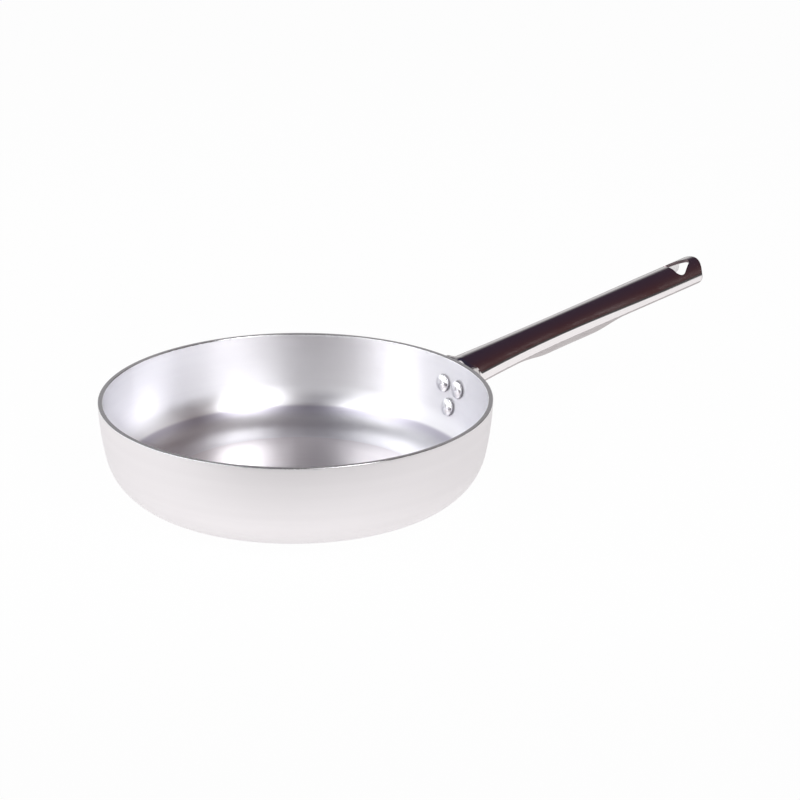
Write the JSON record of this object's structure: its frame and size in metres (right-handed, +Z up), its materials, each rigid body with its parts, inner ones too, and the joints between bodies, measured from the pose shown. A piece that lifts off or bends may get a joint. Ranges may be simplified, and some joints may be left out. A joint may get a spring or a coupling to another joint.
{
  "type": "saute pan",
  "caption": "Round spun aluminium saute pan with a flat base, rounded corner, bellied wall and cut rim, and a formed steel channel handle riveted to its wall, pierced for hanging.",
  "frame": {"origin": "centre of the pan's resting face", "axes": "+X along the handle, away from the pan; +Z up, out of the pan's mouth"},
  "size_m": [0.4384, 0.246, 0.0947],
  "materials": {
    "spun_aluminium": "satin, spun",
    "polished_steel": "bright polished",
    "rivet_aluminium": "polished"
  },
  "bodies": {
    "root": {"pan_body": "spun_aluminium", "handle": "polished_steel", "rivet_upper_left": "rivet_aluminium", "rivet_upper_right": "rivet_aluminium", "rivet_lower": "rivet_aluminium"}
  },
  "joints": []
}
